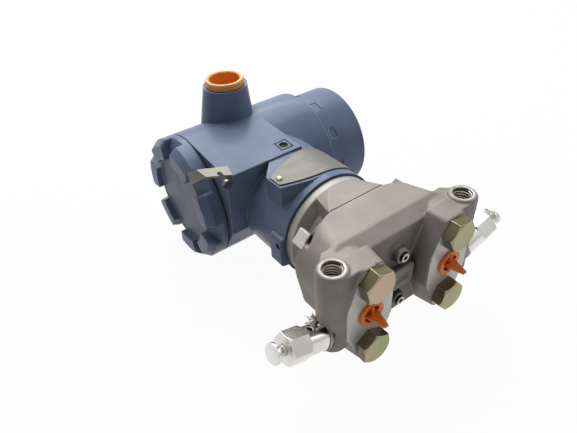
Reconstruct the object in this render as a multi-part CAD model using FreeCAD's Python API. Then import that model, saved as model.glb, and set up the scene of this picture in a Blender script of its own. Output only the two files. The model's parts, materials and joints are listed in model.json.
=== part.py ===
import FreeCAD, Part
import math
import os

# Differential pressure transmitter: two-chamber electronics housing on a sensor module,
# bolted to a coplanar process flange. Millimetres, +Z up. The pieces are drawn about the
# neck axis with the flange's foot faces at z = 0, and moved at the end so that the origin
# is midway between the mouths of the two bracket holes.

V = FreeCAD.Vector
X_DIR = V(1, 0, 0)
Y_DIR = V(0, 1, 0)
Z_DIR = V(0, 0, 1)

# ---- driving dimensions ---------------------------------------------------------------
# process side
port_spacing = 54.0            # between the two process ports, along X
bolt_spacing = 41.3            # between the two bolts of one port, along Y
bolt_r = 5.56                  # 7/16 inch flange bolt
bolt_hole_clearance = 0.3
bolt_length = 37.0
bolt_head_flats = 15.9
bolt_head_height = 6.6
bolt_head_turns = {(-1, -1): 12.0, (-1, 1): 3.0, (1, -1): 24.0, (1, 1): 40.0}

flange_top = 40.5
flange_half_width = 40.0
flange_front = 31.0            # half depth of the casting
flange_waist_y = -2.0          # where the sides start to taper to the rear
flange_shoulder = 35.5         # half width at the rear bolts
flange_shoulder_y = 20.0
flange_rear_half = 29.0        # half width of the rear edge
flange_web = 11.0              # underside of the web between the feet
flange_bevel_top = 19.2        # where the front face starts to fall back to the web
flange_bevel_in = 4.0
front_corner_x = 27.0          # where the front face gives way to the corner, at the top
front_corner_low_x = 35.0      # the same, at the web
front_corner_y = -17.0         # where the corner meets the side, at the top
front_corner_low_y = -28.0     # the same, at the web
front_blend = 15.0             # blend from the front face into the corner
front_low_blend = 5.0          # the same, at the web
side_blend = 20.0              # blend from the corner into the side
side_low_blend = 4.0           # the same, at the web
crest_x = 17.5                 # where the top of the front face starts to slope down
crest_drop = 6.5
crest_depth = 9.0
cup_wall = 4.0
cup_floor = 28.5
cup_gap = 0.2
corner_pad_low = 37.0
corner_pad_high = 45.0
corner_pad_width = 9.0
corner_pad_along = 2.0         # from the middle of the corner towards the side
corner_pad_proud = 0.8

foot_half_width = 14.8
foot_half_length = 29.6
foot_flat = 9.0                # half length of the foot's straight sides
foot_tip = 6.0                 # half width of the foot's ends
foot_corner_r = 3.0
foot_flare = 1.6

port_r = 5.9                   # 1/4-18 NPT mouth
port_depth = 14.0
passage_r = 4.0
isolator_x = 21.0              # centres of the isolating diaphragms
cavity_r = 12.3
cavity_depth = 1.5
diaphragm_thickness = 0.3
seal_section = 1.5

ear_spacing = 84.8             # between the two bracket holes, along X
ear_z = 9.0
ear_r = 7.9
ear_boss_r = 7.0
ear_boss_proud = 1.3
ear_face = 31.1
ear_rear = 16.5
ear_shoulder = 68.0            # degrees round the ear where the wing leaves it
ear_hollow = 0.5               # dish of the wing between ear and casting
wing_top = 21.0                # height of the wing at the side of the casting
ear_hole_r = 4.76              # 3/8-16 UNC
ear_hole_depth = 19.0

align_offset = 14.8            # alignment screws, from the centre along Y
align_boss_r = 4.2
align_screw_r = 2.4
align_socket_r = 1.25
align_tip = 5.0
web_pad_half_width = 9.0
web_pad_half_length = 6.5
web_pad_face = 6.5

# drain valves
valve_seat_x = 47.6            # spot face on the flange's end
valve_y = 9.1
valve_z = 9.5
valve_tilt = 17.0              # degrees, outboard end towards the front
valve_shank_r = 6.5
valve_shank_length = 8.6
valve_collar = 1.9
valve_round_r = 7.1
valve_round_end = 12.6
valve_hex_flats = 14.3
valve_hex_end = 23.8
valve_bore_r = 2.75
vent_r = 1.45
vent_s = 10.2
valve_room = 1.5               # round the valve, where it passes the ear
ball_r = 2.3
ball_s = 5.6
ball_seat_back = 1.65          # from the ball's centre back to the middle of its cone seat
stem_r = 2.7
stem_waist_r = 2.0
stem_head_r = 5.2
stem_head_start = 28.2
stem_head_end = 30.6
moving_gap = 0.3
tape_thickness = 0.35

# sensor module
module_ring_r = 30.6
module_ring_bottom = 56.5
neck_parting = 60.9
module_waist_r = 25.5
tongue_top_half = 13.0
tongue_bottom_half = 18.0
spigot_r = 21.0
spigot_top = 86.0
spigot_cap_r = 15.0
turning_fit = 0.05
cable_way_x = 15.5             # passage from the spigot to the display chamber
cable_way_r = 5.0

# electronics housing
barrel_y = 1.8
barrel_z = 140.5
barrel_r = 39.3
near_end = -42.6               # terminal side end of the barrel
far_end = 39.8                 # display side end of the barrel
wall_near = 4.0                # partition between the two chambers
wall_far = 9.0
chamber_r = 33.2
far_chamber_r = 32.0
thread_r = 35.0                # terminal cover
far_thread_r = 33.4            # display cover
thread_length = 9.0
thread_fit = 0.1
neck_r = 32.0
neck_seal_thickness = 0.5
neck_seal_fit = 0.1
skirt_front = 33.0             # front of the flat below the barrel
skirt_bottom = 95.5
skirt_rear = 8.0
skirt_end = 8.0                # where the flat rounds off towards the display side
skirt_end_r = 12.0
name_pad_left = 25.5
name_pad_depth = 18.0
plate_thickness = 0.7
plate_fit = 0.05
plate_edge = 1.0
lock_lug_x = 34.2
lock_lug_front = -6.0
lock_lug_rear = 12.0
lock_lug_height = 9.5
lock_hole_r = 2.0
lock_y = -1.3
lock_z = 64.0

conduit_x = -4.5
conduit_z = 155.0
conduit_rim_y = -55.0
conduit_rim_r = 13.5
conduit_root_y = -33.0
conduit_root_r = 16.6
conduit_root_shift = -1.4      # the root leans towards the terminal side
conduit_turn = 30.0            # degrees from the base to the boss's broad flat
conduit_bore_r = 11.0
conduit_depth = 32.0
conduit_plug_rim_r = 11.9
conduit_plug_top = -58.5
conduit_plug_cup_r = 9.3
ground_hole_r = 2.6
ground_hole_z = 102.4
ground_seat = 8.4              # side of the square seat about the ground hole
ground_seat_depth = 0.6
ground_seat_line = 0.8         # width of the groove round the seat

# covers
near_gap = 1.0
far_gap = 0.7
near_rim = 4.0
near_cover_length = 12.0
lug_count = 7
lug_angle = 32.0
lug_first = 21.0               # middle of one lug, degrees from the front towards the base
lug_inner_r = 27.5
lug_outer_r = 39.3
lug_front_r = 35.8             # outer radius of the lugs at their front
lug_blend = 1.6
label_r = 27.0
label_recess = 0.6
label_thickness = 0.3
cover_floor_back = 8.4         # terminal cover's disc, from the sealing face
spigot_wall = 3.4
far_cover_r = 34.8
far_cover_length = 28.8
far_end_r = 32.8
window_r = 26.0
glass_r = 29.0
glass_thickness = 6.0
glass_back = 5.0               # glass seat, from the cover's end
grip_count = 10
grip_first = -20.0
grip_depth = 0.5

# cover clamp
clamp_plan = [(-51.5, 101.6), (-52.5, 109.8), (-37.4, 102.8), (-39.0, 94.9)]   # (x, z) on the front flat
clamp_hook = [(-55.0, -30.2, 117.8), (-55.5, -25.6, 113.3)]                    # end of the bent tab
clamp_thickness = 1.2
clamp_slot_x = -44.2
clamp_slot_z = 100.1
clamp_slot_r = 1.3
clamp_screw_x = -43.2
clamp_screw_y = -30.4
clamp_screw_r = 2.6
clamp_screw_height = 2.2

# inside the housing
block_r = 24.0
block_depth = 22.0
block_pocket = 6.0
terminal_pitch = 9.0
board_standing = 9.0
board_thickness = 1.6
display_depth = 28.0
display_recess = 2.2


# ---- helpers --------------------------------------------------------------------------
def fused(shapes):
    """One solid from overlapping solids."""
    result = shapes[0].fuse(shapes[1:]) if len(shapes) > 1 else shapes[0]
    return result.removeSplitter()


def cut(shape, tools):
    """The shape less each tool."""
    for tool in tools:
        shape = shape.cut(tool)
    return shape


def rod(radius, start, direction, length):
    return Part.makeCylinder(radius, length, start, direction)


def tube(outer, inner, start, direction, length):
    return rod(outer, start, direction, length).cut(rod(inner, start, direction, length))


def box(x0, x1, y0, y1, z0, z1):
    return Part.makeBox(x1 - x0, y1 - y0, z1 - z0, V(x0, y0, z0))


def face_of(points):
    return Part.Face(Part.makePolygon(points + [points[0]]))


def rounded_outline(points, radius):
    """Closed wire through the corners, each rounded by its own radius."""
    radii = radius if isinstance(radius, list) else [radius] * len(points)
    edges = []
    starts = []
    ends = []
    count = len(points)
    for i, corner in enumerate(points):
        before = (points[i - 1] - corner).normalize()
        after = (points[(i + 1) % count] - corner).normalize()
        half = before.getAngle(after) / 2
        reach = radii[i] / math.tan(half)
        middle = corner + (before + after).normalize() * (radii[i] / math.sin(half) - radii[i])
        starts.append(corner + before * reach)
        ends.append(corner + after * reach)
        if radii[i] > 0:
            edges.append(Part.Arc(starts[i], middle, ends[i]).toShape())
    for i in range(count):
        a = ends[i]
        b = starts[(i + 1) % count]
        if a.distanceToPoint(b) > 1e-6:
            edges.append(Part.makeLine(a, b))
    return Part.Wire(Part.__sortEdges__(edges))


def rounded_prism(points, radius, along):
    return Part.Face(rounded_outline(points, radius)).extrude(along)


def hexagon(flats, centre, direction, turn):
    """Corners of a hexagon across the given flats, about a centre and direction."""
    side = direction.cross(Z_DIR if abs(direction.z) < 0.9 else X_DIR).normalize()
    rotation = FreeCAD.Rotation(direction, turn)
    corner_r = flats / math.sqrt(3)
    corners = []
    for i in range(6):
        spin = FreeCAD.Rotation(direction, 60.0 * i)
        corners.append(centre + rotation.multVec(spin.multVec(side)) * corner_r)
    return corners


def hex_bar(flats, start, direction, length, turn=0.0, chamfer_far=True, chamfer_near=False):
    """Hexagonal bar with the turned chamfer that a spanner hex has on its ends."""
    bar = face_of(hexagon(flats, start, direction, turn)).extrude(direction * length)
    corner_r = flats / math.sqrt(3)
    flat_r = flats / 2
    rise = (corner_r - flat_r) * 0.75
    reach = corner_r + 1.0
    slope = rise / (corner_r - flat_r * 0.96)
    near_r = flat_r * 0.96 if chamfer_near else reach
    far_r = flat_r * 0.96 if chamfer_far else reach
    near_h = (reach - near_r) * slope
    far_h = (reach - far_r) * slope
    profile = [(0, 0), (near_r, 0), (reach, near_h), (reach, length - far_h), (far_r, length), (0, length)]
    return bar.common(turned(profile, start, direction))


def turned(profile, start, direction):
    """Solid turned about an axis; profile points are (radius, distance along the axis)."""
    kept = [p for i, p in enumerate(profile) if p != profile[i - 1]]
    face = face_of([V(r, 0, s) for r, s in kept])
    solid = face.revolve(V(0, 0, 0), Z_DIR, 360)
    placed = solid.copy()
    placed.Placement = FreeCAD.Placement(start, FreeCAD.Rotation(Z_DIR, direction))
    return placed


def barrel_turned(profile):
    """Solid turned about the barrel's axis; profile points are (x, radius)."""
    return turned([(r, x) for x, r in profile], V(0, barrel_y, barrel_z), X_DIR)


def around_barrel(angle):
    """Outward direction from the barrel's axis, in degrees from the front to the base."""
    return V(0, -math.cos(math.radians(angle)), -math.sin(math.radians(angle)))


def barrel_axis(x):
    return V(x, barrel_y, barrel_z)


def export(name, shape):
    moved = shape.copy()
    moved.translate(V(0, ear_face, -ear_z))
    moved.exportStep("parts/" + name + ".step")


def mirrored(shape):
    return shape.mirror(V(0, 0, 0), X_DIR)


def grouped(shapes):
    return Part.makeCompound(shapes)


# ---- coplanar flange ------------------------------------------------------------------
ear_x = ear_spacing / 2
port_x = port_spacing / 2
bolt_y = bolt_spacing / 2
bolt_hole_r = bolt_r + bolt_hole_clearance
valve_axis = V(math.cos(math.radians(valve_tilt)), -math.sin(math.radians(valve_tilt)), 0)
valve_seat = V(valve_seat_x, valve_y, valve_z)


def body_outline(inset, z, front_x, corner_y, front_r, side_r):
    """Plan outline of the flange: rounded front corners, sides tapering to the rear."""
    w = flange_half_width - inset
    d = flange_front - inset
    shoulder = flange_shoulder - inset
    rear = flange_rear_half - inset * 0.5
    right = [V(front_x - inset * 0.4, -d, z), V(w, corner_y + inset * 0.5, z), V(w, flange_waist_y, z),
             V(shoulder, flange_shoulder_y, z), V(rear, d, z)]
    left = [V(-p.x, p.y, z) for p in reversed(right)]
    blends = [front_r - inset, side_r - inset, 8.0, 8.0, 3.0]
    return rounded_outline(right + left, blends + blends[::-1])


def foot_outline(grow, z):
    """Long eight-sided foot face about one port."""
    w = foot_half_width + grow
    length = foot_half_length + grow * 0.5
    tip = foot_tip + grow
    corners = [V(port_x + sx * a, sy * b, z) for sx, sy, a, b in (
        (-1, -1, tip, length), (1, -1, tip, length), (1, -1, w, foot_flat), (1, 1, w, foot_flat),
        (1, 1, tip, length), (-1, 1, tip, length), (-1, 1, w, foot_flat), (-1, -1, w, foot_flat))]
    return rounded_outline(corners, foot_corner_r)


def ear_wing():
    """Round column behind a bracket hole, dished up into the side of the casting."""
    shoulder = math.radians(ear_shoulder)
    leave = V(ear_x + ear_r * math.cos(shoulder), 0, ear_z + ear_r * math.sin(shoulder))
    rise = V(flange_half_width - 0.5, 0, wing_top)
    inward = (rise - leave).cross(Y_DIR).normalize() * ear_hollow
    middle = (leave + rise) * 0.5 + inward
    corners = [rise, V(port_x, 0, rise.z), V(port_x, 0, ear_z - ear_r), V(ear_x, 0, ear_z - ear_r),
               V(ear_x, 0, ear_z), leave]
    edges = [Part.makeLine(a, b) for a, b in zip(corners[:-1], corners[1:])]
    edges.append(Part.Arc(leave, middle, rise).toShape())
    front = ear_face - ear_boss_proud
    length = front + ear_rear
    web = Part.Face(Part.Wire(edges)).extrude(Y_DIR * length)
    wing = fused([web, rod(ear_r, V(ear_x, 0, ear_z), Y_DIR, length)])
    wing.translate(V(0, -front, 0))
    boss = Part.makeCone(ear_boss_r, ear_boss_r + 0.6, ear_boss_proud + 0.2,
                         V(ear_x, -ear_face, ear_z), Y_DIR)
    return fused([wing, boss])


def corner_pad():
    """Small machined lug on the front corner, standing above the flange's top."""
    run = V(flange_half_width - front_corner_x, flange_front + front_corner_y, 0)
    turn = math.degrees(math.atan2(run.y, run.x))
    pad = box(corner_pad_along - corner_pad_width / 2, corner_pad_along + corner_pad_width / 2,
              -corner_pad_proud, 3, corner_pad_low, corner_pad_high)
    pad.rotate(V(0, 0, 0), Z_DIR, turn)
    pad.translate(V(front_corner_x, -flange_front, 0) + run * 0.5)
    return pad


def flange_body():
    low = body_outline(0, flange_web, front_corner_low_x,
                       front_corner_low_y, front_low_blend, side_low_blend)
    high = body_outline(0, flange_top, front_corner_x, front_corner_y, front_blend, side_blend)
    body = Part.makeLoft([low, high], True, True)
    front = flange_front + 1
    inner = flange_front - flange_bevel_in
    for side in (-1, 1):
        wedge = face_of([V(-front * 2, side * flange_front, flange_bevel_top),
                         V(-front * 2, side * front, flange_bevel_top),
                         V(-front * 2, side * front, flange_web - 1),
                         V(-front * 2, side * inner, flange_web)])
        body = body.cut(wedge.extrude(X_DIR * front * 4))
        drop = crest_drop * (front * 2 - crest_x) / crest_x
        crest = face_of([V(side * crest_x, -front, flange_top + 1), V(side * crest_x, -front, flange_top),
                         V(side * front * 2, -front, flange_top - drop),
                         V(side * front * 2, -front, flange_top + 1)])
        body = body.cut(crest.extrude(Y_DIR * (crest_depth + 1)))
    pieces = [body]
    wing = ear_wing()
    foot = Part.makeLoft([foot_outline(0, 0), foot_outline(foot_flare, flange_web + 1)], True)
    column_top = flange_bevel_top + 2
    for y in (-bolt_y, bolt_y):
        foot = foot.fuse(rod(foot_half_length - bolt_y, V(port_x, y, 1), Z_DIR, column_top))
    for piece in (wing, foot, corner_pad()):
        pieces.append(piece)
        pieces.append(mirrored(piece))
    for y in (-align_offset, align_offset):
        pieces.append(rod(align_boss_r, V(0, y, align_tip + 1.2), Z_DIR, flange_web - align_tip))
    pieces.append(rounded_prism([V(-web_pad_half_width, -web_pad_half_length, web_pad_face),
                                 V(web_pad_half_width, -web_pad_half_length, web_pad_face),
                                 V(web_pad_half_width, web_pad_half_length, web_pad_face),
                                 V(-web_pad_half_width, web_pad_half_length, web_pad_face)],
                                1.5, Z_DIR * (flange_web - web_pad_face + 1)))
    return fused(pieces)


def flange_cuts():
    """Everything drilled or milled in the flange on the +X side, for both sides."""
    inner = valve_seat - valve_axis * (valve_shank_length + 0.2)
    end = valve_seat - valve_axis * 18
    tools = [
        rod(ear_hole_r, V(ear_x, -ear_face - 1, ear_z), Y_DIR, ear_hole_depth + 1),
        rod(port_r, V(port_x, 0, -1), Z_DIR, port_depth + 1),
        rod(passage_r, V(port_x, 0, 0), Z_DIR, cup_floor),
        rod(cavity_r, V(isolator_x, 0, cup_floor - cavity_depth), Z_DIR, cavity_depth + 1),
        rod(valve_shank_r + 0.1, inner, valve_axis, 30),
        rod(ear_r + valve_room, valve_seat, valve_axis, valve_hex_end),
        rod(vent_r, end, valve_axis, 18),
        rod(1.2, V(end.x, end.y, end.z), Z_DIR, cup_floor - end.z + 1),
    ]
    for y in (-bolt_y, bolt_y):
        tools.append(rod(bolt_hole_r, V(port_x, y, -1), Z_DIR, bolt_length + 2))
    both = tools + [mirrored(t) for t in tools]
    for y in (-align_offset, align_offset):
        both.append(rod(align_screw_r + 0.1, V(0, y, 0), Z_DIR, cup_floor - 3))
    both.append(rounded_prism([V(-web_pad_half_width + 2, -web_pad_half_length + 4, web_pad_face - 1),
                               V(web_pad_half_width - 2, -web_pad_half_length + 4, web_pad_face - 1),
                               V(web_pad_half_width - 2, web_pad_half_length - 4, web_pad_face - 1),
                               V(-web_pad_half_width + 2, web_pad_half_length - 4, web_pad_face - 1)],
                              1.2, Z_DIR * 2.2))
    cup = Part.Face(body_outline(cup_wall, cup_floor, front_corner_x,
                                 front_corner_y, front_blend, side_blend))
    cup = cup.extrude(Z_DIR * (flange_top - cup_floor + 1))
    both.append(cup)
    return both


def coplanar_flange():
    return cut(flange_body(), flange_cuts())


def flange_bolts():
    bolts = []
    for (sx, sy), turn in bolt_head_turns.items():
        seat = V(sx * port_x, sy * bolt_y, 0)
        head = hex_bar(bolt_head_flats, seat, V(0, 0, -1), bolt_head_height, turn)
        shank = turned([(0, -0.5), (bolt_r, -0.5), (bolt_r, bolt_length - 1), (bolt_r - 1, bolt_length),
                        (0, bolt_length)], seat, Z_DIR)
        bolts.append(fused([head, shank]))
    return grouped(bolts)


def alignment_screws():
    screws = []
    for y in (-align_offset, align_offset):
        screw = rod(align_screw_r, V(0, y, align_tip), Z_DIR, 17)
        socket = face_of(hexagon(align_socket_r * 2, V(0, y, align_tip - 1), Z_DIR, 0))
        screws.append(screw.cut(socket.extrude(Z_DIR * 4)))
    return grouped(screws)


def isolating_diaphragms():
    discs = [rod(cavity_r - 0.1, V(x, 0, cup_floor - diaphragm_thickness - 0.2), Z_DIR, diaphragm_thickness)
             for x in (-isolator_x, isolator_x)]
    return grouped(discs)


# ---- drain valves ---------------------------------------------------------------------
def along_valve(s):
    return valve_seat + valve_axis * s


def valve_body():
    barrel = turned([(0, -valve_shank_length), (valve_shank_r - 0.4, -valve_shank_length),
                     (valve_shank_r, -valve_shank_length + 1), (valve_shank_r, valve_collar),
                     (valve_round_r, valve_collar + 0.4), (valve_round_r, valve_round_end + 0.5),
                     (0, valve_round_end + 0.5)], valve_seat, valve_axis)
    wrench = hex_bar(valve_hex_flats, along_valve(valve_round_end), valve_axis,
                     valve_hex_end - valve_round_end, 20.0, True, True)
    body = fused([barrel, wrench])
    seat_s = ball_s - ball_seat_back
    chamber = turned([(0, -valve_shank_length - 1), (vent_r, -valve_shank_length - 1),
                      (vent_r, seat_s - 0.6), (valve_bore_r, seat_s + 0.6),
                      (valve_bore_r, valve_hex_end + 1), (0, valve_hex_end + 1)], valve_seat, valve_axis)
    vent_out = V(-math.sin(math.radians(valve_tilt)), -math.cos(math.radians(valve_tilt)), 0)
    vent = rod(vent_r, along_valve(vent_s), vent_out, valve_round_r + 2)
    return cut(body, [chamber, vent])


def drain_ball():
    return Part.makeSphere(ball_r, along_valve(ball_s))


def drain_stem():
    tip = ball_s + ball_r + moving_gap
    profile = [(0, tip), (stem_r - 0.6, tip), (stem_r, tip + 0.6), (stem_r, valve_hex_end + 1.6),
               (stem_waist_r, valve_hex_end + 2.0), (stem_waist_r, stem_head_start - 0.3),
               (stem_head_r - 0.4, stem_head_start), (stem_head_r, stem_head_start + 0.4),
               (stem_head_r, stem_head_end - 0.7), (stem_head_r - 0.7, stem_head_end), (0, stem_head_end)]
    return turned(profile, valve_seat, valve_axis)


def sealing_tape():
    inner = valve_shank_r + 0.02
    end = valve_collar - 0.1
    collar = turned([(inner, 0.05), (inner + tape_thickness, 0.1), (inner + tape_thickness * 0.6, end),
                     (inner, end)], valve_seat, valve_axis)
    return grouped([collar, mirrored(collar)])


def port_plug():
    """Moulded shipping plug: rimmed cup pushed in the port, with a winged pull tab."""
    rim_r = port_r + 1.3
    rim = 1.4
    wall = 1.1
    depth = 9.0
    cup = turned([(0, -rim), (rim_r, -rim), (rim_r, -0.02), (port_r - 0.05, -0.02), (port_r - 0.5, depth),
                  (0, depth)], V(port_x, 0, 0), Z_DIR)
    hollow = turned([(0, -rim - 1), (port_r - wall, -rim - 1), (port_r - wall - 0.4, depth - wall),
                     (0, depth - wall)], V(port_x, 0, 0), Z_DIR)
    web_a = box(port_x - port_r + 0.5, port_x + port_r - 0.5, -0.6, 0.6, -rim, depth - 0.5)
    tab = face_of([V(port_x - 3.4, -0.6, -rim - 1), V(port_x + 3.4, -0.6, -rim - 1),
                   V(port_x + 1.0, -0.6, -rim - 9.5), V(port_x - 1.0, -0.6, -rim - 9.5)])
    web_b = box(port_x - 0.6, port_x + 0.6, -port_r + 0.5, port_r - 0.5, -rim - 0.6, depth - 0.5)
    web_c = box(port_x - 3.4, port_x + 3.4, -0.6, 0.6, -rim - 1, 0)
    return fused([cup.cut(hollow), web_a, web_b, web_c, tab.extrude(Y_DIR * 1.2)])


# ---- sensor module --------------------------------------------------------------------
def sensor_module():
    base_bottom = cup_floor + 0.05
    base = Part.Face(body_outline(cup_wall + cup_gap, base_bottom, front_corner_x,
                                  front_corner_y, front_blend, side_blend))
    base = base.extrude(Z_DIR * (flange_top - base_bottom))
    waist = turned([(0, flange_top - 1), (module_waist_r, flange_top - 1), (module_waist_r, flange_top),
                    (module_waist_r + 2.5, flange_top), (module_waist_r, flange_top + 5),
                    (module_waist_r, module_ring_bottom - 5), (module_ring_r, module_ring_bottom),
                    (module_ring_r, neck_parting), (0, neck_parting)], V(0, 0, 0), Z_DIR)
    front = flange_front
    tongue = face_of([V(-tongue_bottom_half, -front, flange_top), V(tongue_bottom_half, -front, flange_top),
                      V(tongue_top_half, -front, module_ring_bottom + 1),
                      V(-tongue_top_half, -front, module_ring_bottom + 1)]).extrude(Y_DIR * front * 2)
    flare = Part.makeCone(front + 4.5, module_ring_r, module_ring_bottom + 1 - flange_top,
                          V(0, 0, flange_top), Z_DIR)
    spigot = turned([(0, neck_parting - 1), (spigot_r, neck_parting - 1), (spigot_r, spigot_top - 1),
                     (spigot_r - 1, spigot_top), (spigot_cap_r, spigot_top), (spigot_cap_r, spigot_top + 3),
                     (0, spigot_top + 3)], V(0, 0, 0), Z_DIR)
    body = fused([base, waist, tongue.common(flare), spigot])
    tools = []
    for sx in (-1, 1):
        for sy in (-1, 1):
            tools.append(rod(bolt_r + 0.05, V(sx * port_x, sy * bolt_y, 0), Z_DIR, bolt_length + 0.5))
        groove_start = V(sx * isolator_x, 0, cup_floor - 1)
        tools.append(tube(cavity_r + seal_section, cavity_r, groove_start, Z_DIR, 2.2))
    return cut(body, tools)


def diaphragm_seals():
    outer = cavity_r + seal_section - 0.05
    return grouped([tube(outer, cavity_r + 0.05, V(x, 0, cup_floor + 0.02), Z_DIR, 1.1)
                    for x in (-isolator_x, isolator_x)])


def neck_seal():
    return tube(module_ring_r + 0.3, spigot_r + 2, V(0, 0, neck_parting + 0.02), Z_DIR, neck_seal_thickness)


# ---- electronics housing --------------------------------------------------------------
neck_bottom = neck_parting + 0.02 + neck_seal_thickness + neck_seal_fit


def name_pad():
    """Flat for the nameplate's left wing, tangent to the neck."""
    return face_of([V(-name_pad_left, -neck_r, 70.5), V(-8, -neck_r, 66.0), V(0, -neck_r, 66.0),
                    V(0, -neck_r, skirt_bottom + 2), V(-13.5, -neck_r, skirt_bottom + 2),
                    V(-name_pad_left, -neck_r, 83.5)]).extrude(Y_DIR * name_pad_depth)


def skirt():
    """Flat front below the barrel, with a sharp lower ledge; it rounds off past the neck."""
    high = math.radians(8.0)
    low = math.radians(38.0)
    top = V(near_end, barrel_y - barrel_r * math.cos(high), barrel_z - barrel_r * math.sin(high))
    rear = V(near_end, barrel_y + barrel_r * math.sin(low), barrel_z - barrel_r * math.cos(low))
    profile = face_of([top, V(near_end, -skirt_front, skirt_bottom),
                       V(near_end, skirt_rear, skirt_bottom + 2.5), rear, V(near_end, barrel_y, barrel_z)])
    block = profile.extrude(X_DIR * (skirt_end - near_end))
    plan = [V(near_end - 1, -skirt_front - 9, 0), V(skirt_end, -skirt_front - 9, 0), V(skirt_end, 60, 0),
            V(near_end - 1, 60, 0)]
    return block.common(rounded_prism(plan, [0, skirt_end_r, 0, 0], Z_DIR * 200))


def conduit_boss():
    """Tapered boss for the cable entry: round at the rim, squarer and wider at the barrel."""
    length = conduit_root_y - conduit_rim_y
    reach = -conduit_rim_y / length
    root_r = conduit_rim_r + (conduit_root_r - conduit_rim_r) * reach
    root = square_wire(root_r, root_r * 0.45)
    rim = square_wire(conduit_rim_r, conduit_rim_r * 0.97)
    for wire in (root, rim):
        wire.rotate(V(0, 0, 0), Y_DIR, conduit_turn)
    root.translate(V(conduit_x + conduit_root_shift * reach, 0, conduit_z))
    rim.translate(V(conduit_x, conduit_rim_y, conduit_z))
    return Part.makeLoft([root, rim], True)


def square_wire(half, corner):
    """Rounded square about the Y axis."""
    corners = [V(-half, 0, -half), V(half, 0, -half), V(half, 0, half), V(-half, 0, half)]
    return rounded_outline(corners, corner)


def front_slope():
    """Angle that the flat below the barrel leans back by, in degrees."""
    high = math.radians(8.0)
    lean = barrel_r * math.cos(high) - barrel_y - skirt_front
    return math.degrees(math.atan2(lean, barrel_z - barrel_r * math.sin(high) - skirt_bottom))


def ground_seat_groove():
    """Square groove round the ground hole, square to the leaning flat."""
    half = ground_seat / 2
    inner = half - ground_seat_line
    groove = box(-half, half, -5, ground_seat_depth, -half, half)
    groove = groove.cut(box(-inner, inner, -6, ground_seat_depth + 1, -inner, inner))
    groove.rotate(V(0, 0, 0), X_DIR, front_slope())
    groove.translate(on_front(0, ground_hole_z, 0))
    return groove


def on_front(x, z, proud):
    """Point on the leaning front flat, or standing proud of it."""
    lean = math.radians(front_slope())
    y = -skirt_front - math.tan(lean) * (z - skirt_bottom)
    return V(x, y, z) + V(0, -math.cos(lean), -math.sin(lean)) * proud


def electronics_housing():
    barrel = barrel_turned([(near_end, 0), (near_end, barrel_r - 0.4), (near_end + 0.4, barrel_r),
                            (far_end - 0.8, barrel_r), (far_end, barrel_r - 0.8), (far_end, 0)])
    neck = rod(neck_r, V(0, 0, neck_bottom), Z_DIR, barrel_z - neck_bottom)
    lock_lug = rounded_prism([V(-lock_lug_x, lock_lug_front, neck_bottom),
                              V(-20, lock_lug_front - 3, neck_bottom),
                              V(-20, lock_lug_rear + 3, neck_bottom),
                              V(-lock_lug_x, lock_lug_rear, neck_bottom)],
                             [2.0, 0, 0, 2.0], Z_DIR * lock_lug_height)
    solid = fused([barrel, neck, skirt(), name_pad(), conduit_boss(), lock_lug])
    bore_end = conduit_rim_y + conduit_depth
    return cut(solid, [
        barrel_turned([(near_end - 1, 0), (near_end - 1, thread_r), (near_end + thread_length, thread_r),
                       (near_end + thread_length, chamber_r), (wall_near, chamber_r), (wall_near, 0)]),
        barrel_turned([(wall_far, 0), (wall_far, far_chamber_r), (far_end - thread_length, far_chamber_r),
                       (far_end - thread_length, far_thread_r), (far_end + 1, far_thread_r),
                       (far_end + 1, 0)]),
        turned([(0, 0), (spigot_r + turning_fit, 0), (spigot_r + turning_fit, spigot_top + 1),
                (spigot_cap_r + 0.5, spigot_top + 1), (spigot_cap_r + 0.5, spigot_top + 5),
                (0, spigot_top + 5)], V(0, 0, 0), Z_DIR),
        rod(cable_way_r, V(cable_way_x, 0, spigot_top), Z_DIR, barrel_z - far_chamber_r / 2 - spigot_top),
        rod(conduit_bore_r, V(conduit_x, conduit_rim_y - 1, conduit_z), Y_DIR, bore_end - conduit_rim_y + 1),
        rod(ground_hole_r, V(0, -skirt_front - 8, ground_hole_z), Y_DIR, 16),
        rod(lock_hole_r, V(-lock_lug_x - 1, lock_y, lock_z), X_DIR, lock_lug_x - 15),
        ground_seat_groove(),
    ])


def rotation_set_screw():
    length = lock_lug_x - 1.5 - spigot_r - 0.4
    screw = rod(lock_hole_r - 0.05, V(-lock_lug_x + 1.5, lock_y, lock_z), X_DIR, length)
    socket = face_of(hexagon(2.0, V(-lock_lug_x + 1, lock_y, lock_z), X_DIR, 0)).extrude(X_DIR * 3)
    return screw.cut(socket)


def nameplate_outline(grow):
    """Front outline of the plate, as a face in the XZ plane well in front of it."""
    y = -60
    left = -name_pad_left + plate_edge - grow
    top_arc = Part.Arc(V(left, y, 81.5 + grow), V(-7, y, 90.0 + grow), V(17, y, 95.4 + grow)).toShape()
    hidden = [V(17, y, 95.4 + grow), V(27, y, 90 + grow), V(30 + grow, y, 80), V(24, y, 69 - grow),
              V(14, y, 67.4 - grow)]
    low_arc = Part.Arc(V(14, y, 67.4 - grow), V(-7, y, 68.0 - grow), V(left, y, 72.6 - grow)).toShape()
    edges = [top_arc, low_arc, Part.makeLine(V(left, y, 72.6 - grow), V(left, y, 81.5 + grow))]
    for a, b in zip(hidden[:-1], hidden[1:]):
        edges.append(Part.makeLine(a, b))
    return Part.Face(Part.Wire(Part.__sortEdges__(edges)))


def nameplate():
    """Thin sheet: flat on the left pad, rolled round the neck on the right."""
    prism = nameplate_outline(0).extrude(Y_DIR * 60)
    inner = neck_r + plate_fit
    outer = inner + plate_thickness
    flat = box(-60, 0, -outer, -inner, 0, 200)
    rolled = tube(outer, inner, V(0, 0, 0), Z_DIR, 200).common(box(0, 60, -60, 0, 0, 200))
    return prism.common(fused([flat, rolled]))


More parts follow.
